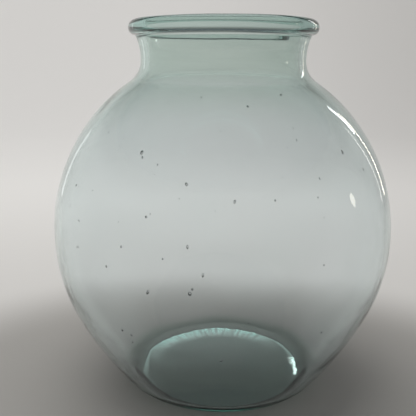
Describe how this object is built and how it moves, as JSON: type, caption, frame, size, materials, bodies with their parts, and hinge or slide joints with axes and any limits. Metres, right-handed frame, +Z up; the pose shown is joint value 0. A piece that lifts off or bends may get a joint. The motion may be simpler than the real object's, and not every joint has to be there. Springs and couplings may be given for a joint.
{
  "type": "wide-mouthed glass carboy",
  "caption": "Open glass carboy: near-spherical blown body on a thick flat base, with a short waisted neck, a wide round mouth and a rolled rim.",
  "frame": {"origin": "centre of the standing ring, on the surface the carboy stands on", "axes": "+Z up along the axis of revolution, out of the mouth; +X and +Y are any two directions across it, because the carboy is round"},
  "size_m": [0.36, 0.36, 0.3905],
  "materials": {
    "glass": "clear pale aqua-green blown glass, smooth outside, faintly rippled, with small seeds"
  },
  "bodies": {
    "root": {"base": "glass", "globe": "glass", "neck": "glass", "flare": "glass", "rim": "glass"}
  },
  "joints": []
}
